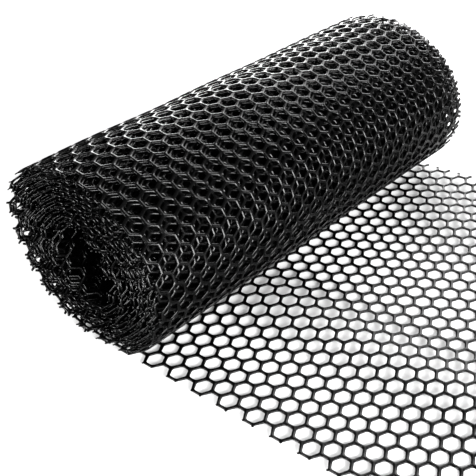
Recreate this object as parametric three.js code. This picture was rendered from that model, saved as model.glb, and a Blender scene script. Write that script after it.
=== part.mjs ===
// A length of black plastic poultry netting, wound into a hollow roll with its loose end flat on the floor.
// Sizes are in millimetres. X runs along the unrolled length, Y along the roll and Z up from the floor.
import * as THREE from 'three';
import { mergeVertices } from 'three/addons/utils/BufferGeometryUtils.js';

const NET_WIDTH = 400;
const FREE_EDGE_X = 191.2;
const PIECE_GAP = 0.3;

// The wound oval at each end of the roll. lean is how far it tips towards -X for each millimetre of height.
const ROLL_ENDS = {
  near: { centreX: -117.8, halfWidth: 74, halfHeight: 66.3, lean: 0.24 },
  far: { centreX: -105.8, halfWidth: 81.7, halfHeight: 71.7, lean: 0.11 },
};
// The open core, as it is at the near end, and how far it hangs below the middle of the roll.
const CORE = { halfWidth: 20.5, halfHeight: 29.5, lean: 0.35 };
const CORE_DROP = 6.5;
// slit is the open share between two turns. foot is the share of the half height where the roll sits flat.
const WINDING = { turns: 8.5, stepsPerTurn: 24, slit: 0.2, foot: 0.96 };

// The loose end's openings are six-sided, in staggered rows. squeeze is their length along X, set against a
// regular hexagon's.
const MESH = { thickness: 2, cellsAcross: 17, rows: 16, strand: 3.2, squeeze: 0.845 };
// The loose end lies flat where it leaves the roll and then ripples in soft ridges that run along X. Each has
// its crest height, its spread to either side and the distance from the roll where it is full.
const RIDGES = [
  { place: 'near edge', y: -200, crest: 1.2, spread: 26, fullAt: 70 },
  { place: 'middle', y: -75, crest: 3.4, spread: 34, fullAt: 70 },
  { place: 'far side', y: 145, crest: 3.2, spread: 55, fullAt: 130 },
  { place: 'far edge', y: 205, crest: 7, spread: 40, fullAt: 140 },
];
// The strands wander a little sideways in long waves.
const SWAY = { amount: 0.7, waveX: 31, waveY: 23 };

const NETTING_PLASTIC = { color: 0x141516, roughness: 0.42, metalness: 0 };

/** A row of sizes part of the way from one table row to another. */
function blendRows(from, to, share) {
  const row = {};
  for (const key of Object.keys(to)) {
    row[key] = THREE.MathUtils.lerp(from[key], to[key], share);
  }
  return row;
}

// Winding

const CENTRE_HEIGHT = WINDING.foot * ROLL_ENDS.near.halfHeight;
const SLIT_DEPTH = WINDING.slit / (WINDING.turns + 1);
const FOOT_END_ANGLE = -Math.asin(WINDING.foot);
// The share of a turn that lies on the foot.
const FOOT_TURN = Math.acos(WINDING.foot) / Math.PI;

/** A point of the near end's section. depth is 0 on the outer turn and 1 on the wall of the core. */
function sectionPoint(angle, depth) {
  const oval = blendRows(ROLL_ENDS.near, CORE, depth);
  const rise = Math.max(Math.sin(angle), -WINDING.foot) * oval.halfHeight;
  const x = Math.cos(angle) * oval.halfWidth - rise * oval.lean;
  return new THREE.Vector2(x, CENTRE_HEIGHT + rise - CORE_DROP * depth);
}

/** How deep a turn lies, from 0 on the outside. Each turn lies level on the foot and then works inwards. */
function turnDepth(turn) {
  const whole = Math.floor(turn);
  const afterFoot = Math.max(turn - whole - FOOT_TURN, 0) / (1 - FOOT_TURN);
  return (whole + afterFoot) / (WINDING.turns + 1);
}

/** The wound band: it leaves the foot towards -X, goes up, over the top and round to the core. */
function windingShape() {
  const outerFace = [];
  const innerFace = [];
  for (let step = 0; step <= WINDING.turns * WINDING.stepsPerTurn; step += 1) {
    const turn = step / WINDING.stepsPerTurn;
    const angle = FOOT_END_ANGLE - turn * 2 * Math.PI;
    outerFace.push(sectionPoint(angle, turnDepth(turn)));
    innerFace.push(sectionPoint(angle, turnDepth(turn + 1) - SLIT_DEPTH));
  }
  return new THREE.Shape([...outerFace, ...innerFace.reverse()]);
}

/** Where a point of the near end's section lies, at a share of the way to the far end. */
function placeInRoll(sectionX, sectionHeight, share) {
  const { near, far } = ROLL_ENDS;
  const oval = blendRows(near, far, share);
  const height = sectionHeight * (oval.halfHeight / near.halfHeight);
  const rise = height - WINDING.foot * oval.halfHeight;
  const x = oval.centreX + sectionX * (oval.halfWidth / near.halfWidth) - rise * (oval.lean - near.lean);
  return new THREE.Vector3(x, (share - 0.5) * NET_WIDTH, height);
}

/** The roll: one spiral band along its whole length, wider and taller towards the far end. */
function woundRoll() {
  const geometry = new THREE.ExtrudeGeometry(windingShape(), { depth: NET_WIDTH, bevelEnabled: false });
  const { position } = geometry.attributes;
  for (let i = 0; i < position.count; i += 1) {
    const share = 1 - position.getZ(i) / NET_WIDTH;
    const point = placeInRoll(position.getX(i), position.getY(i), share);
    position.setXYZ(i, point.x, point.y, point.z);
  }
  return geometry;
}

// Loose end

const PITCH = (NET_WIDTH - MESH.strand) / (MESH.cellsAcross + 0.5);
const HALF_STRAND = MESH.strand / 2;
// A cell has two sides along X and four slanted ones that rise to its two tips.
const LONG_SIDE = (PITCH / Math.sqrt(3)) * MESH.squeeze;
const TIP = LONG_SIDE / 2;
const SLANT = Math.hypot(PITCH / 2, TIP);
const ROW_STEP = LONG_SIDE + TIP;
// How far half a strand moves a slanted side along X, and a corner along its long side.
const SLANT_SHIFT = (HALF_STRAND * SLANT) / (PITCH / 2);
const CORNER_SHIFT = (HALF_STRAND * (SLANT - TIP)) / (PITCH / 2);

/** X of the line where the loose end meets the outer turn's end face. */
function rootX(y) {
  const footEnd = sectionPoint(FOOT_END_ANGLE, 0);
  return placeInRoll(footEnd.x, footEnd.y, y / NET_WIDTH + 0.5).x + PIECE_GAP;
}

/** Centre of a cell. Rows count from the free edge, and every second row is shifted by half a cell. */
function cellCentre(row, cell) {
  const x = FREE_EDGE_X - SLANT_SHIFT - TIP - LONG_SIDE / 2 - row * ROW_STEP;
  const shift = row % 2 === 0 ? 0 : PITCH / 2;
  const y = HALF_STRAND + PITCH / 2 + cell * PITCH + shift - NET_WIDTH / 2;
  return { x, y };
}

/** A point of the sheet's plan with its sway, held to the solid strip along the root. */
function planPoint(x, y, strip) {
  const fade = Math.cos((Math.PI * y) / NET_WIDTH);
  const swayX = x + SWAY.amount * Math.sin(y / SWAY.waveY);
  const swayY = y + SWAY.amount * Math.sin(x / SWAY.waveX) * fade;
  return new THREE.Vector2(Math.max(swayX, rootX(y) + strip), swayY);
}

/** One six-sided opening, half a strand inside its cell. */
function cellOpening(row, cell) {
  const { x, y } = cellCentre(row, cell);
  const tip = LONG_SIDE / 2 + TIP - SLANT_SHIFT;
  const corner = LONG_SIDE / 2 - CORNER_SHIFT;
  const side = PITCH / 2 - HALF_STRAND;
  const corners = [[tip, 0], [corner, side], [-corner, side], [-tip, 0], [-corner, -side], [corner, -side]];
  return new THREE.Path(corners.map(([dx, dy]) => planPoint(x + dx, y + dy, MESH.strand)));
}

/** The stepped edge along one side of the sheet, from the roll to the free edge. */
function sideEdge(direction) {
  const lastCell = direction < 0 ? 0 : MESH.cellsAcross - 1;
  const points = [];
  for (let row = MESH.rows - 1; row >= 0; row -= 1) {
    const { x, y } = cellCentre(row, lastCell);
    const standsOut = (row % 2 === 0) === (direction < 0);
    const half = LONG_SIDE / 2 + (standsOut ? CORNER_SHIFT : -CORNER_SHIFT);
    const edgeY = y + direction * (PITCH / 2 + HALF_STRAND);
    points.push(planPoint(x - half, edgeY, 0), planPoint(x + half, edgeY, 0));
  }
  return points;
}

/** The zigzag along the free edge, from the near side to the far side. */
function freeEdge() {
  const points = [];
  for (let cell = 0; cell < MESH.cellsAcross; cell += 1) {
    const { x, y } = cellCentre(0, cell);
    points.push(planPoint(x + LONG_SIDE / 2 + TIP + SLANT_SHIFT, y, 0));
    if (cell < MESH.cellsAcross - 1) {
      points.push(planPoint(x + LONG_SIDE / 2 + SLANT_SHIFT, y + PITCH / 2, 0));
    }
  }
  return points;
}

/** How far the sheet lifts off the floor. */
function rippleLift(x, y) {
  const lifts = RIDGES.map((ridge) => {
    const ramp = THREE.MathUtils.smoothstep(x - rootX(y), 0, ridge.fullAt);
    return ramp * ridge.crest * Math.exp(-(((y - ridge.y) / ridge.spread) ** 2));
  });
  return Math.max(...lifts);
}

/** The loose end: one thin sheet with its openings cut through, lying in its soft ripple. */
function looseEnd() {
  const root = [NET_WIDTH / 2, -NET_WIDTH / 2].map((y) => new THREE.Vector2(rootX(y), y));
  const shape = new THREE.Shape([...sideEdge(-1), ...freeEdge(), ...sideEdge(1).reverse(), ...root]);
  for (let row = 0; row < MESH.rows; row += 1) {
    for (let cell = 0; cell < MESH.cellsAcross; cell += 1) {
      shape.holes.push(cellOpening(row, cell));
    }
  }
  const geometry = new THREE.ExtrudeGeometry(shape, { depth: MESH.thickness, bevelEnabled: false });
  const { position } = geometry.attributes;
  for (let i = 0; i < position.count; i += 1) {
    position.setZ(i, position.getZ(i) + rippleLift(position.getX(i), position.getY(i)));
  }
  return geometry;
}

/** A named piece with its own plastic. Shared corners are merged so that the solid is closed. */
function piece(name, geometry) {
  geometry.deleteAttribute('normal');
  geometry.deleteAttribute('uv');
  const solid = mergeVertices(geometry);
  solid.computeVertexNormals();
  const mesh = new THREE.Mesh(solid, new THREE.MeshStandardMaterial(NETTING_PLASTIC));
  mesh.name = name;
  return mesh;
}

const netting = new THREE.Group();
netting.add(piece('wound_roll', woundRoll()));
netting.add(piece('loose_end', looseEnd()));

export default netting;
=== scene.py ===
"""A roll of black plastic poultry netting, with its loose end on the floor and every strand modelled.

The netting is made flat first, as rows of six-sided cells that count from its free edge. Each point of it is
then laid on the floor or wound round the roll. Sizes are in metres.
"""

import logging
import math
from dataclasses import dataclass, field
from enum import Enum

import bpy
import numpy as np
from mathutils import Matrix, Vector


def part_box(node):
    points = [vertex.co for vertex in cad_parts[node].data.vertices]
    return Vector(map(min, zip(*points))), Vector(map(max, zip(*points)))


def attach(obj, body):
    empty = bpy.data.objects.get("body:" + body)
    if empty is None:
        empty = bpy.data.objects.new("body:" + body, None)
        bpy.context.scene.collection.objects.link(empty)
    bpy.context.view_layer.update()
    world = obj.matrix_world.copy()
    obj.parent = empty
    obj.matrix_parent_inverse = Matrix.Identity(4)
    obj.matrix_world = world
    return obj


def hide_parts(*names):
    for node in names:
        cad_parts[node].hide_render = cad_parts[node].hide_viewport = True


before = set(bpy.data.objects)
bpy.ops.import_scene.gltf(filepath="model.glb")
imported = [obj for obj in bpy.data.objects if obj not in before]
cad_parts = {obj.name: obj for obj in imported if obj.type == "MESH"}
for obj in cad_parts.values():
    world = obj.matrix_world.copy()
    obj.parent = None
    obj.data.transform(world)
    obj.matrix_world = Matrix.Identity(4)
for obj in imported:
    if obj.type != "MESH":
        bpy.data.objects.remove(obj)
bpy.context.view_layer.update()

LOG = logging.getLogger("netting_roll")
LOOSE_LOW, LOOSE_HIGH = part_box("loose_end")
NET_WIDTH = LOOSE_HIGH.y - LOOSE_LOW.y
MM = 0.001
SIDES_TO_FREE_EDGE = (2, 3)
SIDES_TO_CORE = (5, 0)


def blend(start: float, end: float, share: np.ndarray) -> np.ndarray:
    """A value part of the way from start to end."""
    return start + (end - start) * share


def smooth_step(values: np.ndarray, start: float, end: float) -> np.ndarray:
    """A ramp from 0 at start to 1 at end, level at both."""
    share = np.clip((values - start) / (end - start), 0.0, 1.0)
    return share * share * (3.0 - 2.0 * share)


class End(Enum):
    """How a piece of netting ends along its length."""

    MOULDED = "closed by a whole strand"
    JOINED = "cut along the middle of its strands, where the next piece goes on"


class Detail(Enum):
    """How finely strands are modelled.

    Each has its number of points on a cell's side, and half of a strand's section: shares of the way from
    the middle of the strand to the opening, with shares of the thickness.
    """

    FINE = (3, ((0.0, 1.0), (0.66, 0.96), (0.96, 0.66), (0.9, 0.16), (0.0, 0.0)))
    PLAIN = (2, ((0.0, 1.0), (0.86, 0.74), (1.0, 0.3), (0.0, 0.0)))
    COARSE = (1, ((0.0, 1.0), (1.0, 0.5), (0.0, 0.0)))

    @property
    def per_side(self) -> int:
        """Points on each side of a cell."""
        return self.value[0]

    @property
    def profile(self) -> tuple[tuple[float, float], ...]:
        """Half of a strand's section, from its top to its underside."""
        return self.value[1]


class Held(Enum):
    LAID = "laid"
    FOLDED = "folded"


@dataclass(frozen=True)
class Wander:
    """A slow, seeded unevenness over the flat netting, made of crossed waves.

    shortest and longest set how far the single waves differ from the wavelength.
    """

    seed: int
    amount: float
    wavelength: float
    waves: int = 7
    shortest: float = 0.7
    longest: float = 1.6

    def at(self, along: np.ndarray, across: np.ndarray) -> np.ndarray:
        """The unevenness at points of the flat netting.

        Args:
            along: Distances from the free edge.
            across: Distances from the near edge.

        Returns:
            One offset for each point, mostly within the amount to either side.
        """
        draw = np.random.default_rng(self.seed)
        total = np.zeros_like(along)
        for _ in range(self.waves):
            heading = draw.uniform(0.0, math.pi)
            turn_rate = 2.0 * math.pi / (self.wavelength * draw.uniform(self.shortest, self.longest))
            phase = draw.uniform(0.0, 2.0 * math.pi)
            total += np.sin(turn_rate * (along * math.cos(heading) + across * math.sin(heading)) + phase)
        return total * self.amount / math.sqrt(self.waves)


@dataclass(frozen=True)
class FlatNet:
    """A closed mesh of a piece of flat netting.

    points holds distance along, distance across and height. faces holds each face's points, and places holds
    a place on the bake's map for each corner of each face, in the same order.
    """

    points: np.ndarray
    faces: list[list[int]]
    places: np.ndarray


@dataclass(frozen=True)
class BakeMap:
    """Where the faces of a flat piece lie on the bake's map, which is 1 wide and 1 high.

    The top and the underside lie side by side, and the faces on cut ends lie in one row above them.
    end_width is half the width of such a face, as a share of the room that it has, and end_height is half
    its height.
    """

    margin: float = 0.01
    side_shift: float = 0.5
    side_width: float = 0.48
    side_length: float = 0.94
    ends_width: float = 0.98
    ends_row: float = 0.975
    end_width: float = 0.4
    end_height: float = 0.01

    def side(self, share: np.ndarray, underside: bool) -> np.ndarray:
        """Places corners of the top or of the underside.

        Args:
            share: How far along and across the piece each corner lies, from 0 to 1.
            underside: Whether they are on the underside.

        Returns:
            A place on the map for each corner.
        """
        across = self.margin + self.side_width * share[:, 1] + self.side_shift * underside
        return np.column_stack([across, self.margin + self.side_length * share[:, 0]])

    def end(self, index: int, count: int, corners: int) -> np.ndarray:
        """Places the corners of a face on a cut end.

        Args:
            index: The face's number among such faces.
            count: How many of them there are.
            corners: How many corners the face has.

        Returns:
            A place on the map for each corner.
        """
        step = self.ends_width / count
        angles = np.arange(corners) * 2.0 * math.pi / corners
        middle = np.array([self.margin + (index + 0.5) * step, self.ends_row])
        radius = np.array([self.end_width * step, self.end_height])
        return middle + radius * np.stack([np.cos(angles), np.sin(angles)], axis=1)


@dataclass(frozen=True)
class NetPattern:
    """The moulded pattern of the netting.

    squeeze is a cell's length along the netting, set against a regular hexagon's. side_inset is how far from
    its corners the points of a cell's side lie, as a share of the side. swell is how much thicker the strands
    are where they meet.

    The netting is cut to its width: edge_share is what the cut leaves of the outer half of the near edge's
    strands, where spurs of the strands beyond it stand out, and the far edge's cells are cut open. spur_root
    and spur_tip are half the width and half the height of a spur at its two ends, as shares of the strand's.
    spur_uneven is how much the spurs differ in length, and spur_rhythm how that changes from row to row and
    between the two spurs of a row.
    """

    width: float
    cells: int = 25
    squeeze: float = 0.845
    strand: float = 2.75 * MM
    thickness: float = 1.4 * MM
    fillet: float = 2.1 * MM
    side_inset: float = 0.3
    swell: float = 0.12
    edge_share: float = 0.6
    spur_root: tuple[float, float] = (0.42, 0.4)
    spur_tip: tuple[float, float] = (0.28, 0.25)
    spur_uneven: float = 0.3
    spur_rhythm: tuple[float, float] = (12.9898, 4.1414)
    bake_map: BakeMap = BakeMap()

    @property
    def pitch(self) -> float:
        """Distance between the middles of two cells in a row."""
        return self.width / (self.cells + 0.5)

    @property
    def long_side(self) -> float:
        """Length of a cell's two sides that run along the netting."""
        return self.pitch / math.sqrt(3.0) * self.squeeze

    @property
    def row_step(self) -> float:
        """Distance between two rows of cells."""
        return 1.5 * self.long_side

    def cell_outline(self, per_side: int) -> tuple[np.ndarray, np.ndarray]:
        """The outlines of one cell round its middle.

        Args:
            per_side: Points on each of the six sides, 1 to 3. With 1 the corners stay sharp.

        Returns:
            The line through the middle of its strands, and the edge of its opening with rounded corners.
        """
        half = self.long_side / 2.0
        side = self.pitch / 2.0
        tip = self.long_side
        corners = np.array(
            [(tip, 0.0), (half, side), (-half, side), (-tip, 0.0), (-half, -side), (half, -side)]
        )
        following = np.roll(corners, -1, axis=0)
        lengths = np.linalg.norm(following - corners, axis=1, keepdims=True)
        along_side = (following - corners) / lengths
        inward = np.stack([-along_side[:, 1], along_side[:, 0]], axis=1)
        before = np.roll(inward, 1, axis=0)
        cosine = np.sum(inward * before, axis=1, keepdims=True)
        inner = corners + (inward + before) / (1.0 + cosine) * self.strand / 2.0
        bisector = (inward + before) / np.linalg.norm(inward + before, axis=1, keepdims=True)
        half_turn = np.arccos(cosine) / 2.0
        rounded = inner + bisector * self.fillet * (1.0 / np.cos(half_turn) - 1.0)
        if per_side == 1:
            line = [corners]
            opening = [inner]
        elif per_side == 2:
            middle = (corners + following) / 2.0
            line = [corners, middle]
            opening = [rounded, middle + inward * self.strand / 2.0]
        else:
            tangent = self.fillet * np.tan(half_turn)
            inset = self.side_inset * (following - corners)
            line = [corners, corners + inset, following - inset]
            next_inner = np.roll(inner, -1, axis=0)
            next_tangent = np.roll(tangent, -1, axis=0)
            opening = [rounded, inner + along_side * tangent, next_inner - along_side * next_tangent]
        return np.stack(line, axis=1).reshape(-1, 2), np.stack(opening, axis=1).reshape(-1, 2)

    def cell_middles(self, rows: range) -> np.ndarray:
        """Middles of the cells of some rows. Even rows are shifted by half a cell to the far side.

        Args:
            rows: The rows, counted from the free edge.

        Returns:
            Distance along and across of each cell.
        """
        row, cell = np.meshgrid(np.array(rows), np.arange(self.cells), indexing="ij")
        along = self.long_side + row * self.row_step
        across = (cell + 0.5 + 0.5 * (row % 2 == 0)) * self.pitch
        return np.stack([along, across], axis=-1).reshape(-1, 2)

    def plastic_share(self) -> float:
        """Works out how much of the flat netting is strand and not opening.

        Returns:
            The share of its area.
        """
        line, opening = self.cell_outline(Detail.FINE.per_side)
        areas = []
        for outline in (line, opening):
            following = np.roll(outline, -1, axis=0)
            areas.append(np.sum(outline[:, 0] * following[:, 1] - outline[:, 1] * following[:, 0]) / 2.0)
        return float(1.0 - areas[1] / areas[0])

    def cut(self, rows: range, ends: tuple[End, End], detail: Detail, spur: float) -> FlatNet:
        """Cuts some rows of the flat netting as a closed mesh.

        Args:
            rows: The rows, counted from the free edge.
            ends: How the piece ends towards the free edge and towards the core.
            detail: How finely the strands are modelled.
            spur: Mean length of the stumps along its near edge.

        Returns:
            The flat piece.
        """
        per_side, between = detail.per_side, detail.profile[1:-1]
        line, opening = self.cell_outline(per_side)
        middles = self.cell_middles(rows)
        count, ring = len(middles), len(line)
        plan = (middles[:, None, :] + line[None, :, :]).reshape(-1, 2)
        inside = opening - line
        merge = self.strand / 1000.0
        keys = np.round(plan / merge).astype(np.int64)
        _, first, spine = np.unique(keys, axis=0, return_index=True, return_inverse=True)
        spine = spine.reshape(count, ring)
        spine_plan = plan[first]
        spine_swell = 1.0 + self.swell * (first % ring % per_side == 0)
        size = len(spine_plan)

        kept = self._kept_stretches(rows, per_side)
        points = [self._raised(spine_plan, spine_swell, 1.0), self._raised(spine_plan, spine_swell, 0.0)]
        swell = np.tile(1.0 + self.swell * (np.arange(ring) % per_side == 0), count)
        rings = [spine]
        used = 2 * size
        for towards, height in between:
            ring_plan = plan + np.tile(inside * towards, (count, 1))
            points.append(self._raised(ring_plan, swell, height))
            rings.append(used + np.arange(count * ring).reshape(count, ring))
            used += count * ring
        rings.append(spine + size)
        strips = [self._strip(outer, inner)[kept.reshape(-1)] for outer, inner in zip(rings, rings[1:])]

        starts, stops, joined = self._open_sides(spine, size, per_side, ends, kept)
        moulded = np.stack([starts[~joined], stops[~joined]], axis=1)
        rim, rim_offset = self._rim_offsets(spine_plan, moulded)
        rim_index = np.full(size, -1)
        rim_index[rim] = np.arange(len(rim))
        rim_rings = [np.arange(size)]
        for towards, height in between:
            rim_plan = spine_plan[rim] + rim_offset * towards
            points.append(self._raised(rim_plan, spine_swell[rim], height))
            rim_rings.append(used + rim_index)
            used += len(rim)
        rim_rings.append(np.arange(size) + size)
        for level in range(len(strips)):
            above, below = rim_rings[level], rim_rings[level + 1]
            start, stop = moulded[:, 0], moulded[:, 1]
            strip = np.stack([above[stop], above[start], below[start], below[stop]], axis=1)
            strips[level] = np.concatenate([strips[level], strip])

        start, stop = starts[joined], stops[joined]
        walls = np.stack([stop, start, start + size, stop + size], axis=1)
        caps = self._caps(moulded, rim_rings) + self._prong_caps(kept, rings)
        spur_points, spur_faces = self._spurs(rows, spur)
        points.append(spur_points)
        caps += (spur_faces + used).tolist()
        return self._finished(np.concatenate(points), strips, walls, caps)

    def _kept_stretches(self, rows: range, per_side: int) -> np.ndarray:
        """Finds which stretches of the strands are left, with the far edge's cells cut open to two prongs.

        Args:
            rows: The rows of the piece.
            per_side: Points on each side of a cell.

        Returns:
            For each cell, whether the stretch from each of its points to the next is left.
        """
        kept = np.ones((len(rows), self.cells, 6 * per_side), dtype=bool)
        trim = 1 if per_side > 1 else 0
        stands_out = np.array(rows) % 2 == 0
        kept[stands_out, -1, per_side - trim : 2 * per_side + trim] = False
        return kept.reshape(len(rows) * self.cells, -1)

    def _spurs(self, rows: range, spur: float) -> tuple[np.ndarray, np.ndarray]:
        """Makes the stumps of cut strands along the near edge, closed tapers rooted in the edge strand.

        Args:
            rows: The rows of the piece.
            spur: Mean length of the stumps.

        Returns:
            Eight points for each stump, and its six faces.
        """
        row = np.array(rows)
        row = np.repeat(row[row % 2 == 1], 2)
        side = np.tile([-1.0, 1.0], len(row) // 2)
        along = self.long_side + row * self.row_step + side * self.long_side / 2.0
        root = np.stack([along, np.zeros_like(along)], axis=1)
        heading = np.stack([side * self.long_side, np.full_like(side, -self.pitch)], axis=1)
        heading /= np.linalg.norm(heading, axis=1, keepdims=True)
        across = np.stack([-heading[:, 1], heading[:, 0]], axis=1)
        by_row, by_side = self.spur_rhythm
        uneven = np.sin(row * by_row + side * by_side)
        reach = spur * (1.0 + self.spur_uneven * uneven)[:, None]
        rings = []
        for place, (half_width, half_height) in ((0.0, self.spur_root), (1.0, self.spur_tip)):
            middle = root + heading * reach * place
            for sideways, upward in ((1.0, 0.0), (0.0, 1.0), (-1.0, 0.0), (0.0, -1.0)):
                plan = middle + across * self.strand * half_width * sideways
                rings.append(self._raised(plan, np.ones(len(row)), 0.5 + half_height * upward))
        ends = [[3, 2, 1, 0], [4, 5, 6, 7]]
        sides = [[i, (i + 1) % 4, (i + 1) % 4 + 4, i + 4] for i in range(4)]
        first_point = len(rings) * np.arange(len(row))[:, None, None]
        faces = (np.array(ends + sides)[None] + first_point).reshape(-1, 4)
        return np.stack(rings, axis=1).reshape(-1, 3), faces

    def _raised(self, plan: np.ndarray, swell: np.ndarray, height: float) -> np.ndarray:
        """Points of the plan at a share of the strand's thickness."""
        return np.column_stack([plan, swell * self.thickness * height])

    def _strip(self, outer: np.ndarray, inner: np.ndarray) -> np.ndarray:
        """Four-sided faces between two rings of every cell."""
        corners = [outer, np.roll(outer, -1, axis=1), np.roll(inner, -1, axis=1), inner]
        return np.stack(corners, axis=-1).reshape(-1, 4)

    def _open_sides(
        self, spine: np.ndarray, size: int, per_side: int, ends: tuple[End, End], kept: np.ndarray
    ) -> tuple[np.ndarray, np.ndarray, np.ndarray]:
        """Finds the sides of cells that no other cell of the piece shares.

        Args:
            spine: Each cell's points on the middle line of its strands.
            size: Number of such points.
            per_side: Points on each side of a cell.
            ends: How the piece ends.
            kept: Which stretches of each cell are left.

        Returns:
            Start points, end points, and whether the side is a cut where the next piece goes on.
        """
        start, stop = spine, np.roll(spine, -1, axis=1)
        is_open = kept & ~np.isin(start * size + stop, stop * size + start)
        side = np.broadcast_to(np.arange(spine.shape[1]) // per_side, spine.shape)
        row = np.broadcast_to(np.arange(len(spine))[:, None] // self.cells, spine.shape)
        joined = np.zeros(spine.shape, dtype=bool)
        if ends[0] is End.JOINED:
            joined |= (row == 0) & np.isin(side, SIDES_TO_FREE_EDGE)
        if ends[1] is End.JOINED:
            joined |= (row == row.max()) & np.isin(side, SIDES_TO_CORE)
        return start[is_open], stop[is_open], joined[is_open]

    def _rim_offsets(self, spine_plan: np.ndarray, moulded: np.ndarray) -> tuple[np.ndarray, np.ndarray]:
        """How far the outside of the edge strands lies from their middle line.

        Args:
            spine_plan: Points on the middle line of the strands.
            moulded: Start and end point of each side along the netting's own edge.

        Returns:
            The points along the edge, and the offset of each that lies on the outside of both its sides.
        """
        heading = spine_plan[moulded[:, 1]] - spine_plan[moulded[:, 0]]
        heading /= np.linalg.norm(heading, axis=1, keepdims=True)
        outward = np.stack([heading[:, 1], -heading[:, 0]], axis=1)
        on_cut = spine_plan[moulded, 1].max(axis=1) < self.pitch / 4.0
        reach = np.where(on_cut, self.edge_share, 1.0) * self.strand / 2.0
        sides = np.zeros((len(spine_plan), 2, 2))
        reaches = np.zeros_like(spine_plan)
        for column in (0, 1):
            np.add.at(sides, moulded[:, column], outward[:, :, None] * outward[:, None, :])
            np.add.at(reaches, moulded[:, column], outward * reach[:, None])
        rim = np.unique(moulded)
        solved = np.linalg.pinv(sides[rim], rcond=1e-3, hermitian=True) @ reaches[rim][:, :, None]
        return rim, solved[:, :, 0]

    def _caps(self, moulded: np.ndarray, rim_rings: list[np.ndarray]) -> list[list[int]]:
        """Closes each edge strand where the piece is cut.

        Args:
            moulded: Start and end point of each side along the netting's own edge.
            rim_rings: Numbers of the points round the outer half of the edge strands, from top to underside.

        Returns:
            The faces.
        """
        starts, stops = set(moulded[:, 0].tolist()), set(moulded[:, 1].tolist())
        caps = []
        for point in sorted(starts ^ stops):
            cap = [int(ring[point]) for ring in rim_rings]
            caps.append(cap if point in stops else cap[::-1])
        return caps

    def _prong_caps(self, kept: np.ndarray, rings: list[np.ndarray]) -> list[list[int]]:
        """Closes the inner half of each strand where its cell is cut open.

        Args:
            kept: Which stretches of each cell are left.
            rings: Numbers of the points round the inner half of each cell's strands, from top to underside.

        Returns:
            The faces.
        """
        columns = np.stack(rings, axis=-1)
        before = np.roll(kept, 1, axis=1)
        return columns[before & ~kept][:, ::-1].tolist() + columns[kept & ~before].tolist()

    def _finished(
        self, points: np.ndarray, strips: list[np.ndarray], walls: np.ndarray, caps: list[list[int]]
    ) -> FlatNet:
        """Puts the faces of a flat piece together, with their places on the bake's map.

        Args:
            points: All points.
            strips: Faces from the top of the strands to their underside.
            walls: Faces along the cuts.
            caps: Faces of the spurs and on the ends of cut strands.

        Returns:
            The flat piece.
        """
        low = points.min(axis=0)[:2]
        span = points.max(axis=0)[:2] - low
        share = (points[:, :2] - low) / span
        faces, places = [], []
        for level, strip in enumerate(strips):
            turned = strip[:, ::-1]
            faces += turned.tolist()
            places.append(self.bake_map.side(share[turned.reshape(-1)], 2 * level >= len(strips)))
        ends = [wall[::-1] for wall in walls.tolist()] + [cap[::-1] for cap in caps]
        for index, face in enumerate(ends):
            places.append(self.bake_map.end(index, len(ends), len(face)))
        faces += ends
        used, index = np.unique(np.concatenate(faces), return_inverse=True)
        stops = np.cumsum([len(face) for face in faces])[:-1]
        renumbered = [face.tolist() for face in np.split(index, stops)]
        return FlatNet(points[used], renumbered, np.concatenate(places))


@dataclass(frozen=True)
class Ridge:
    """A soft ridge along the loose end: its middle, height and spread, and how far out it is full."""

    y: float
    crest: float
    spread: float
    ramp: float = 70.0 * MM


@dataclass(frozen=True)
class FloorLay:
    """How the loose end lies on the floor. It is flat where it leaves the roll and ripples further out."""

    ridges: tuple[Ridge, ...] = (
        Ridge(-200.0 * MM, 1.2 * MM, 26.0 * MM),
        Ridge(-75.0 * MM, 3.4 * MM, 34.0 * MM),
        Ridge(145.0 * MM, 3.2 * MM, 55.0 * MM, 130.0 * MM),
        Ridge(205.0 * MM, 7.0 * MM, 40.0 * MM, 140.0 * MM),
    )

    def lift(self, from_root: np.ndarray, y: np.ndarray) -> np.ndarray:
        """Works out how high the netting's underside lies off the floor.

        Args:
            from_root: Distances from the foot of the roll.
            y: Places along the roll.

        Returns:
            One height for each point.
        """
        heights = []
        for ridge in self.ridges:
            crest = ridge.crest * smooth_step(from_root, 0.0, ridge.ramp)
            heights.append(crest * np.exp(-(((y - ridge.y) / ridge.spread) ** 2)))
        return np.max(heights, axis=0)


@dataclass(frozen=True)
class Oval:
    """An oval of the roll. lean is how far it tips towards -X for each metre of height."""

    half_width: float
    half_height: float
    lean: float
    centre_x: float = 0.0


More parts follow.
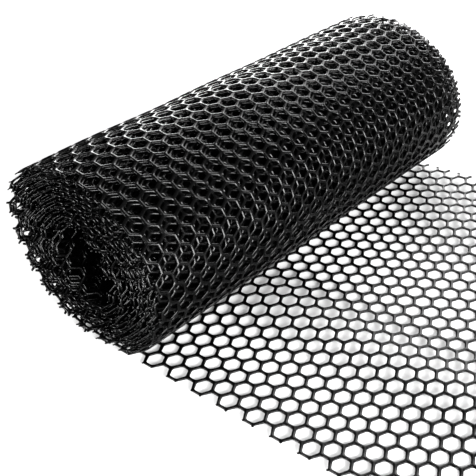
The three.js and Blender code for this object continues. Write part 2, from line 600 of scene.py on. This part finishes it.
@dataclass(frozen=True)
class Winding:
    """The wound form: an oval spiral that leaves the floor at the roll's foot and works inwards to the core.

    foot is the share of the half height where the roll sits flat, and foot_blend how softly it goes over
    into the round. core_drop is how far the core lies below the middle of the roll. side_spread and
    top_spread are how far apart the outer turns lie, set against the mean. slant is how far the ends of the
    roll lie towards the near side for each metre towards -X, and comes in over slant_heights.

    The taut outer turn is narrower than the rest: far_draw_in is how far it lies inside them at the far end,
    and draw_in how far it does, wound askew, on the +X side of the near end. far_pull is how far all the
    turns are pulled back at the far end, and far_cone how far the inner ones stand out of it again. slack is
    how far the outer turn stands off the next, and slip how far it is pulled on over it, which puts the
    strands of one in the openings of the other.

    dents are shared by neighbouring turns, and unevenness isn't. drift moves the turns along the roll, and
    drift_across is how fast it changes across the netting, set against along it. Each field that ends in
    _turns gives the turns over which something comes in.
    """

    near: Oval = Oval(75.3 * MM, 68.2 * MM, 0.24, -119.1 * MM)
    far: Oval = Oval(80.7 * MM, 72.2 * MM, 0.11, -106.8 * MM)
    core: Oval = Oval(19.0 * MM, 28.5 * MM, 0.35)
    core_drop: float = 7.0 * MM
    side_spread: float = 0.55
    top_spread: float = 0.76
    turns: float = 24.0
    foot: float = 0.96
    foot_blend: float = 0.02
    slant: float = 0.03
    slant_heights: tuple[float, float] = (2.0 * MM, 25.0 * MM)
    draw_in: float = 2.0 * MM
    far_draw_in: float = 5.5 * MM
    draw_in_turns: tuple[float, float] = (0.6, 1.4)
    far_pull: float = 4.5 * MM
    far_cone: float = 6.5 * MM
    far_cone_turns: tuple[float, float] = (1.0, 6.5)
    slack: float = 0.8 * MM
    slack_turns: tuple[float, float] = (0.5, 1.1)
    slip: float = 5.5 * MM
    slip_turns: tuple[float, float] = (1.48, 1.7)
    dents: Wander = Wander(seed=8, amount=0.6 * MM, wavelength=130.0 * MM)
    unevenness: Wander = Wander(seed=11, amount=0.35 * MM, wavelength=50.0 * MM)
    uneven_turns: tuple[float, float] = (1.0, 1.6)
    drift: Wander = Wander(seed=5, amount=2.6 * MM, wavelength=300.0 * MM)
    drift_across: float = 0.5
    drift_turns: tuple[float, float] = (0.0, 0.3)
    table_steps: int = 8000
    lengths: np.ndarray = field(init=False, repr=False)

    def __post_init__(self) -> None:
        """Works out how much netting is wound at each point of the spiral, half way along the roll."""
        turn = self._table_turns()
        x, z = self.section(turn, np.full_like(turn, 0.5))
        steps = np.hypot(np.diff(x), np.diff(z))
        object.__setattr__(self, "lengths", np.concatenate([[0.0], np.cumsum(steps)]))

    def _table_turns(self) -> np.ndarray:
        """Even steps of turns, from the foot to a little past the inner end."""
        return np.linspace(0.0, self.turns + 0.5, self.table_steps)

    def length_at(self, turn: float) -> float:
        """Length of netting from the foot to a turn."""
        return float(np.interp(turn, self._table_turns(), self.lengths))

    def turn_at(self, length: np.ndarray) -> np.ndarray:
        """The turn that is reached with a length of netting."""
        return np.interp(length, self.lengths, self._table_turns())

    def _above_foot(self, sine: np.ndarray) -> np.ndarray:
        """The sine of the winding angle, softly held to the foot."""
        over = sine + self.foot
        return (over + np.sqrt(over * over + self.foot_blend**2)) / 2.0 - self.foot

    def section(self, turn: np.ndarray, share: np.ndarray) -> tuple[np.ndarray, np.ndarray]:
        """Where the outer face of the spiral lies.

        Args:
            turn: Turns from the foot.
            share: Share of the way from the near end to the far end.

        Returns:
            X and Z.
        """
        angle = -math.pi / 2.0 - 2.0 * math.pi * turn
        depth = turn / (self.turns + 1.0)
        near, far, core = self.near, self.far, self.core
        side_depth = depth * (self.side_spread + (1.0 - self.side_spread) * depth)
        top_depth = depth * (self.top_spread + (1.0 - self.top_spread) * depth)
        half_width = blend(near.half_width, core.half_width, side_depth)
        half_height = blend(near.half_height, core.half_height, top_depth)
        lean = blend(near.lean, core.lean, depth)
        lowest = float(self._above_foot(np.array(-1.0)))
        rise = self._above_foot(np.sin(angle)) * half_height
        x = np.cos(angle) * half_width - rise * lean
        taller = blend(near.half_height, far.half_height, share) / near.half_height
        wider = blend(near.half_width, far.half_width, share) / near.half_width
        height = (rise - lowest * near.half_height - self.core_drop * depth * depth) * taller
        end_rise = height + lowest * near.half_height * taller
        end_lean = blend(near.lean, far.lean, share) - near.lean
        return blend(near.centre_x, far.centre_x, share) + x * wider - end_rise * end_lean, height

    def place(self, length: np.ndarray, across: np.ndarray, height: np.ndarray) -> np.ndarray:
        """Winds points of the flat netting round the roll.

        Args:
            length: Distances past the foot of the outer turn.
            across: Distances from the near edge.
            height: Heights over the outer face.

        Returns:
            One row of X, Y and Z for each point.
        """
        share = across / NET_WIDTH
        slip_from, slip_to = (self.length_at(turn) for turn in self.slip_turns)
        length = length + self.slip * smooth_step(length, slip_from, slip_to)
        turn = self.turn_at(length)
        tiny = 1e-4
        x, z = self.section(turn, share)
        next_x, next_z = self.section(turn + tiny, share)
        last_x, last_z = self.section(np.maximum(turn - tiny, 0.0), share)
        run = np.hypot(next_x - last_x, next_z - last_z)
        inward_x, inward_z = (next_z - last_z) / run, (last_x - next_x) / run
        around = np.mod(turn, 1.0)
        dents = self.dents.at(around * self.length_at(1.0), across)
        height = height + dents * np.sin(math.pi * around) ** 2
        height = height + self.unevenness.at(length, across) * smooth_step(turn, *self.uneven_turns)
        height = height + self.slack * smooth_step(turn, *self.slack_turns) * (1.0 - turn / self.turns)
        y = across - NET_WIDTH / 2.0 + self._off_edge(length, turn, across, x)
        y = y + self.slant * (x - self.near.centre_x) * smooth_step(z, *self.slant_heights)
        return np.column_stack([x + inward_x * height, y, z + inward_z * height])

    def _off_edge(
        self, length: np.ndarray, turn: np.ndarray, across: np.ndarray, x: np.ndarray
    ) -> np.ndarray:
        """Works out how far the wound netting lies off its straight course, along the roll.

        Args:
            length: Distances past the foot of the outer turn.
            turn: Turns from the foot.
            across: Distances from the near edge.
            x: X of the spiral.

        Returns:
            One offset for each point.
        """
        share = across / NET_WIDTH
        to_far = 2.0 * share - 1.0
        begun = smooth_step(turn, *self.drift_turns)
        drift = self.drift.at(length, self.drift_across * across) * begun
        side = np.clip((x - self.near.centre_x) / self.near.half_width, -1.0, 1.0)
        draw_in = np.where(share > 0.5, self.far_draw_in, self.draw_in * side)
        cone = self.far_cone * smooth_step(turn, *self.far_cone_turns) - self.far_pull
        off_edge = drift + draw_in * to_far * smooth_step(turn, *self.draw_in_turns)
        return off_edge + cone * np.maximum(to_far, 0.0) * begun


@dataclass
class Netting:
    """The whole length of netting: its pattern, its lay on the floor and its winding.

    free_x is how far out the middle of the free edge's strand lies, and sway is how uneven the cells are.
    """

    pattern: NetPattern = NetPattern(NET_WIDTH)
    floor_lay: FloorLay = FloorLay()
    winding: Winding = field(default_factory=Winding)
    free_x: float = LOOSE_HIGH.x - 1.6 * MM
    sway: Wander = Wander(seed=3, amount=0.3 * MM, wavelength=120.0 * MM)

    def root_x(self, across: np.ndarray) -> np.ndarray:
        """X of the line on the floor where the outer turn begins."""
        return self.winding.section(np.zeros_like(across), across / NET_WIDTH)[0]

    def row_at_turn(self, turn: float) -> int:
        """The row of cells that reaches a turn, half way along the roll."""
        to_root = self.free_x - float(self.root_x(np.array([NET_WIDTH / 2.0]))[0])
        return round((to_root + self.winding.length_at(turn)) / self.pattern.row_step)

    def lay(self, points: np.ndarray) -> np.ndarray:
        """Lays points of the flat netting in their place.

        Args:
            points: Distance along, distance across and height.

        Returns:
            X, Y and Z of each point.
        """
        along, across, height = points.T
        along = along + self.sway.at(across, along)
        across = across + self.sway.at(along, across)
        past_root = along - (self.free_x - self.root_x(across))
        placed = self.winding.place(np.maximum(past_root, 0.0), across, height)
        y = across - NET_WIDTH / 2.0
        lift = self.floor_lay.lift(-past_root, y)
        flat = np.column_stack([self.free_x - along, y, lift + height])
        return np.where((past_root < 0.0)[:, None], flat, placed)

    def make(
        self, name: str, rows: range, ends: tuple[End, End], detail: Detail, spur: float
    ) -> bpy.types.Object:
        """Makes a piece of the netting in its place.

        Args:
            name: Name of the piece.
            rows: Its rows, counted from the free edge.
            ends: How it ends along its length.
            detail: How finely the strands are modelled.
            spur: Mean length of the stumps along its near edge.

        Returns:
            The new object.
        """
        flat = self.pattern.cut(rows, ends, detail, spur)
        mesh = bpy.data.meshes.new(name)
        mesh.from_pydata(self.lay(flat.points).tolist(), [], flat.faces)
        bake_map = mesh.uv_layers.new(name="OFBake")
        bake_map.data.foreach_set("uv", flat.places.reshape(-1))
        mesh.shade_smooth()
        piece = bpy.data.objects.new(name, mesh)
        bpy.context.scene.collection.objects.link(piece)
        return piece

    def declare(self, piece: bpy.types.Object, rows: range, held: Held) -> None:
        """Works out the flat size of a piece and the area of plastic in it, from its rows.

        Args:
            piece: The piece. Not used.
            rows: Its rows, counted from the free edge.
            held: How it is held. Not used.
        """
        length = len(rows) * self.pattern.row_step
        area = NET_WIDTH * length * self.pattern.plastic_share()


class Sock:
    """A shader socket that takes Python's arithmetic and adds Math nodes for it."""

    def __init__(self, graph: "NodeGraph", socket: bpy.types.NodeSocket) -> None:
        """Keeps the socket and the graph that it is in."""
        self.graph = graph
        self.socket = socket

    def _math(self, operation: str, first: "Sock | float", second: "Sock | float") -> "Sock":
        """A Math node on two values."""
        return self.graph.add("ShaderNodeMath", {"operation": operation}, {0: first, 1: second})

    def __add__(self, other: "Sock | float") -> "Sock":
        """Sum."""
        return self._math("ADD", self, other)

    def __radd__(self, other: float) -> "Sock":
        """Sum with a number in front."""
        return self._math("ADD", other, self)

    def __mul__(self, other: "Sock | float") -> "Sock":
        """Product."""
        return self._math("MULTIPLY", self, other)

    def __rmul__(self, other: float) -> "Sock":
        """Product with a number in front."""
        return self._math("MULTIPLY", other, self)


class NodeGraph:
    """A material's nodes, built from Python."""

    def __init__(self, name: str) -> None:
        """Starts a material that has only a Principled shader.

        Args:
            name: The material's name.
        """
        self.material = bpy.data.materials.new(name)
        self.material.use_nodes = True
        self.nodes = self.material.node_tree.nodes
        self.links = self.material.node_tree.links
        self.shader = self.nodes["Principled BSDF"]

    def add(self, kind: str, settings: dict, inputs: dict, output: str | int = 0) -> Sock:
        """Adds a node.

        Args:
            kind: The node's type.
            settings: Its settings, such as a Math node's operation.
            inputs: Values or sockets for its inputs, by name or number.
            output: The output to give back.

        Returns:
            That output.
        """
        node = self.nodes.new(kind)
        for setting, value in settings.items():
            setattr(node, setting, value)
        for key, value in inputs.items():
            self.feed(node, key, value)
        return Sock(self, node.outputs[output])

    def feed(self, node: bpy.types.Node, key: str | int, value: "Sock | float | tuple") -> None:
        """Links or sets one input of a node.

        Args:
            node: The node.
            key: The input's name or number.
            value: What goes into it.
        """
        if isinstance(value, Sock):
            self.links.new(value.socket, node.inputs[key])
        else:
            node.inputs[key].default_value = value

    def object_place(self) -> Sock:
        """Places on the object, in metres."""
        return self.add("ShaderNodeTexCoord", {}, {}, "Object")

    def noise(self, place: Sock, scale: float, detail: float) -> Sock:
        """Noise from 0 to 1 at a number of grains a metre."""
        return self.add("ShaderNodeTexNoise", {}, {"Vector": place, "Scale": scale, "Detail": detail})

    def colour_between(self, share: Sock, first: tuple, second: tuple) -> Sock:
        """A colour part of the way from the first to the second, by a Mix node's numbered colour sockets."""
        colours = {0: share, 6: (*first, 1.0), 7: (*second, 1.0)}
        return self.add("ShaderNodeMix", {"data_type": "RGBA"}, colours, 2)


@dataclass(frozen=True)
class NettingPlastic:
    """Black moulded plastic with a satin gloss, a faint bloom in patches and a fine moulded grain.

    The bloom comes in where the noise of the patches goes from bloom_from to bloom_full.
    """

    black: tuple[float, float, float] = (0.0002, 0.0002, 0.00022)
    bloom: tuple[float, float, float] = (0.0007, 0.0007, 0.00075)
    bloom_from: float = 0.42
    bloom_full: float = 0.70
    gloss: float = 0.12
    roughness: float = 0.21
    patch_roughness: float = 0.1
    patch_scale: float = 55.0
    patch_detail: float = 4.0
    grain_scale: float = 1400.0
    grain_detail: float = 2.0
    grain_depth: float = 0.04 * MM
    grain_strength: float = 0.25

    def material(self) -> bpy.types.Material:
        """Makes the finish.

        Returns:
            The new material.
        """
        graph = NodeGraph("netting_plastic")
        place = graph.object_place()
        patches = graph.noise(place, self.patch_scale, self.patch_detail)
        grain = graph.noise(place, self.grain_scale, self.grain_detail)
        bloom = graph.add(
            "ShaderNodeMapRange",
            {"interpolation_type": "SMOOTHSTEP"},
            {"Value": patches, "From Min": self.bloom_from, "From Max": self.bloom_full},
        )
        bumps = {"Strength": self.grain_strength, "Distance": self.grain_depth, "Height": grain}
        graph.feed(graph.shader, "Base Color", graph.colour_between(bloom, self.black, self.bloom))
        graph.feed(graph.shader, "Roughness", self.roughness + self.patch_roughness * patches)
        graph.feed(graph.shader, "Normal", graph.add("ShaderNodeBump", {}, bumps))
        graph.feed(graph.shader, "Specular IOR Level", self.gloss)
        return graph.material


@dataclass(frozen=True)
class FloorPaper:
    """Pale matt paper under the roll, which glows a little so that it comes out white."""

    pale: tuple[float, float, float] = (0.312, 0.312, 0.312)
    roughness: float = 0.7
    glow: float = 0.45

    def material(self) -> bpy.types.Material:
        """Makes the finish.

        Returns:
            The new material.
        """
        graph = NodeGraph("floor_paper")
        graph.feed(graph.shader, "Base Color", (*self.pale, 1.0))
        graph.feed(graph.shader, "Roughness", self.roughness)
        graph.feed(graph.shader, "Emission Color", (*self.pale, 1.0))
        graph.feed(graph.shader, "Emission Strength", self.glow)
        return graph.material


@dataclass
class LooseEnd:
    """The end of the netting that lies on the floor, from its free edge to the foot of the roll.

    spur is the mean length of the stumps along its near edge.
    """

    netting: Netting
    detail: Detail = Detail.FINE
    spur: float = 1.5 * MM
    piece: bpy.types.Object | None = None

    def rows(self) -> range:
        """Rows of cells from the free edge to the foot of the roll."""
        return range(0, self.netting.row_at_turn(0.0))

    def build(self) -> None:
        """Makes the netting of the loose end."""
        ends = (End.MOULDED, End.JOINED)
        self.piece = self.netting.make("loose_end_net", self.rows(), ends, self.detail, self.spur)

    def dress(self, finish: bpy.types.Material) -> None:
        """Gives the loose end its finish, hangs it on the root body and hides the part that it takes the
        place of.

        Args:
            finish: The netting's material.
        """
        self.piece.data.materials.append(finish)
        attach(self.piece, "root")
        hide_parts("loose_end")
        self.netting.declare(self.piece, self.rows(), Held.LAID)


@dataclass(frozen=True)
class TurnGroup:
    """Some turns of the roll that are one piece, from one turn to another."""

    name: str
    start: float
    end: float
    detail: Detail


@dataclass
class WoundRoll:
    """The wound turns, from the foot of the outer turn to the open core.

    spur is the mean length of the stumps along their near edge.
    """

    netting: Netting
    groups: tuple[TurnGroup, ...] = (
        TurnGroup("outer_turn_net", 0.0, 1.0, Detail.FINE),
        TurnGroup("second_turn_net", 1.0, 2.0, Detail.FINE),
        TurnGroup("third_turns_net", 2.0, 4.0, Detail.PLAIN),
        TurnGroup("middle_turns_net", 4.0, 10.0, Detail.COARSE),
        TurnGroup("inner_turns_net", 10.0, 16.0, Detail.COARSE),
        TurnGroup("core_turns_net", 16.0, 24.0, Detail.COARSE),
    )
    spur: float = 2.7 * MM
    pieces: list[bpy.types.Object] = field(default_factory=list)

    def rows(self, group: TurnGroup) -> range:
        """Rows of cells of some turns."""
        return range(self.netting.row_at_turn(group.start), self.netting.row_at_turn(group.end))

    def build(self) -> None:
        """Makes the netting of each group of turns."""
        for group in self.groups:
            last = End.MOULDED if group is self.groups[-1] else End.JOINED
            rows, ends = self.rows(group), (End.JOINED, last)
            self.pieces.append(self.netting.make(group.name, rows, ends, group.detail, self.spur))

    def dress(self, finish: bpy.types.Material) -> None:
        """Gives the turns their finish, hangs them on the root body and hides the part that they take the
        place of.

        Args:
            finish: The netting's material.
        """
        for group, piece in zip(self.groups, self.pieces):
            piece.data.materials.append(finish)
            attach(piece, "root")
            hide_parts("wound_roll")
            self.netting.declare(piece, self.rows(group), Held.FOLDED)


@dataclass(frozen=True)
class Softbox:
    """A studio light: its place, the point that it faces, its width and height, and its power in watts."""

    name: str
    place: tuple[float, float, float]
    aim: tuple[float, float, float]
    size: tuple[float, float]
    power: float

    def build(self) -> None:
        """Adds the light."""
        light = bpy.data.lights.new(self.name, "AREA")
        light.shape = "RECTANGLE"
        light.size, light.size_y = self.size
        light.energy = self.power
        lamp = bpy.data.objects.new(self.name, light)
        lamp.location = self.place
        lamp.rotation_euler = (Vector(self.place) - Vector(self.aim)).to_track_quat("Z", "Y").to_euler()
        lamp.visible_camera = False
        bpy.context.scene.collection.objects.link(lamp)


@dataclass(frozen=True)
class StudioCamera:
    """The camera at the photograph's angle: angles in degrees, lens and sensor in millimetres."""

    place: tuple[float, float, float] = (0.31029, -0.56983, 0.45207)
    azimuth: float = 38.036
    elevation: float = 33.224
    roll: float = 1.323
    lens: float = 71.43
    sensor: float = 36.0

    def build(self) -> None:
        """Adds the camera and makes it the scene's own."""
        data = bpy.data.cameras.new("studio_camera")
        data.sensor_width = self.sensor
        data.lens = self.lens
        camera = bpy.data.objects.new("studio_camera", data)
        turn = Matrix.Rotation(math.radians(self.azimuth), 4, "Z")
        tilt = Matrix.Rotation(math.radians(90.0 - self.elevation), 4, "X")
        roll = Matrix.Rotation(math.radians(self.roll), 4, "Z")
        camera.matrix_world = Matrix.Translation(self.place) @ turn @ tilt @ roll
        bpy.context.scene.collection.objects.link(camera)
        bpy.context.scene.camera = camera


@dataclass
class Studio:
    """A pale floor in a white room, with soft light from the right, from behind and from the front left."""

    floor_side: float = 12.0
    room_light: float = 0.35
    camera: StudioCamera = StudioCamera()
    lights: tuple[Softbox, ...] = (
        Softbox("right_light", (1.48, -0.36, 0.62), (-0.05, 0.0, 0.06), (1.8, 0.55), 202.0),
        Softbox("left_light", (-1.56, 1.71, 0.58), (-0.1, 0.0, 0.1), (1.0, 1.0), 52.0),
        Softbox("back_light", (-0.3, 1.65, 1.0), (-0.1, 0.0, 0.1), (1.2, 1.2), 42.0),
        Softbox("front_light", (-0.6, -1.8, 0.3), (-0.1, -0.2, 0.07), (0.8, 0.8), 190.0),
    )

    def build(self) -> None:
        """Adds the floor, the room's light, the lamps and the camera."""
        bpy.ops.object.select_all(action="DESELECT")
        bpy.ops.mesh.primitive_plane_add(size=self.floor_side)
        floor = bpy.context.object
        floor.name = "floor"
        floor.data.materials.append(FloorPaper().material())
        world = bpy.data.worlds.new("white_room")
        world.use_nodes = True
        backdrop = world.node_tree.nodes["Background"]
        backdrop.inputs["Color"].default_value = (1.0, 1.0, 1.0, 1.0)
        backdrop.inputs["Strength"].default_value = self.room_light
        bpy.context.scene.world = world
        for light in self.lights:
            light.build()
        self.camera.build()
        bpy.context.scene.view_settings.view_transform = "Standard"
        bpy.context.scene.view_settings.look = "Medium High Contrast"


def main() -> None:
    """Builds the studio, the loose end and the roll, and reports each piece."""
    logging.basicConfig(level=logging.INFO, format="%(message)s")
    Studio().build()
    finish = NettingPlastic().material()
    netting = Netting()
    loose_end = LooseEnd(netting)
    loose_end.build()
    loose_end.dress(finish)
    roll = WoundRoll(netting)
    roll.build()
    roll.dress(finish)
    for piece in [loose_end.piece, *roll.pieces]:
        LOG.info("%s: %d points, %d faces", piece.name, len(piece.data.vertices), len(piece.data.polygons))
    bpy.context.view_layer.update()


if __name__ == "__main__":
    main()
